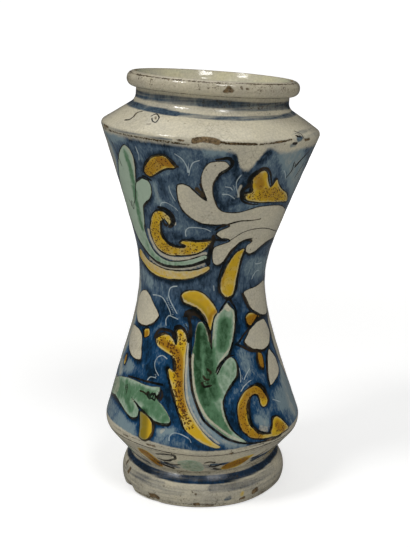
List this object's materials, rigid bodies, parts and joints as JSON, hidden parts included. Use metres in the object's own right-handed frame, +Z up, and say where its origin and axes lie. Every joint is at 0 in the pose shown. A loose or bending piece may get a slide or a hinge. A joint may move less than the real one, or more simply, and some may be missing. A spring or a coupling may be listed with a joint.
{
  "type": "albarello drug jar",
  "caption": "Waisted drug jar of tin-glazed earthenware with a turned foot, sharp shoulder, short neck and rolled lip, painted with leaf scrolls on a blue ground.",
  "frame": {"origin": "centre of the foot, on the surface that the jar stands on", "axes": "+Z up along the foot's axis, -Y the painted front that the picture shows, +X the side that the upper half leans to"},
  "size_m": [0.1248, 0.1232, 0.2428],
  "materials": {
    "clay": "bare fired earthenware",
    "slip": "fired clay slip",
    "tin_glaze": "glossy tin glaze with in-glaze painting, crazed and worn",
    "lining_glaze": "glossy off-white tin glaze"
  },
  "bodies": {
    "root": {"foot": "clay", "foot_seam": "slip", "lower_body": "clay", "waist_seam": "slip", "upper_body": "clay", "neck_seam": "slip", "neck": "clay", "lower_glaze": "tin_glaze", "upper_glaze": "tin_glaze", "lower_lining": "lining_glaze", "upper_lining": "lining_glaze"}
  },
  "joints": []
}
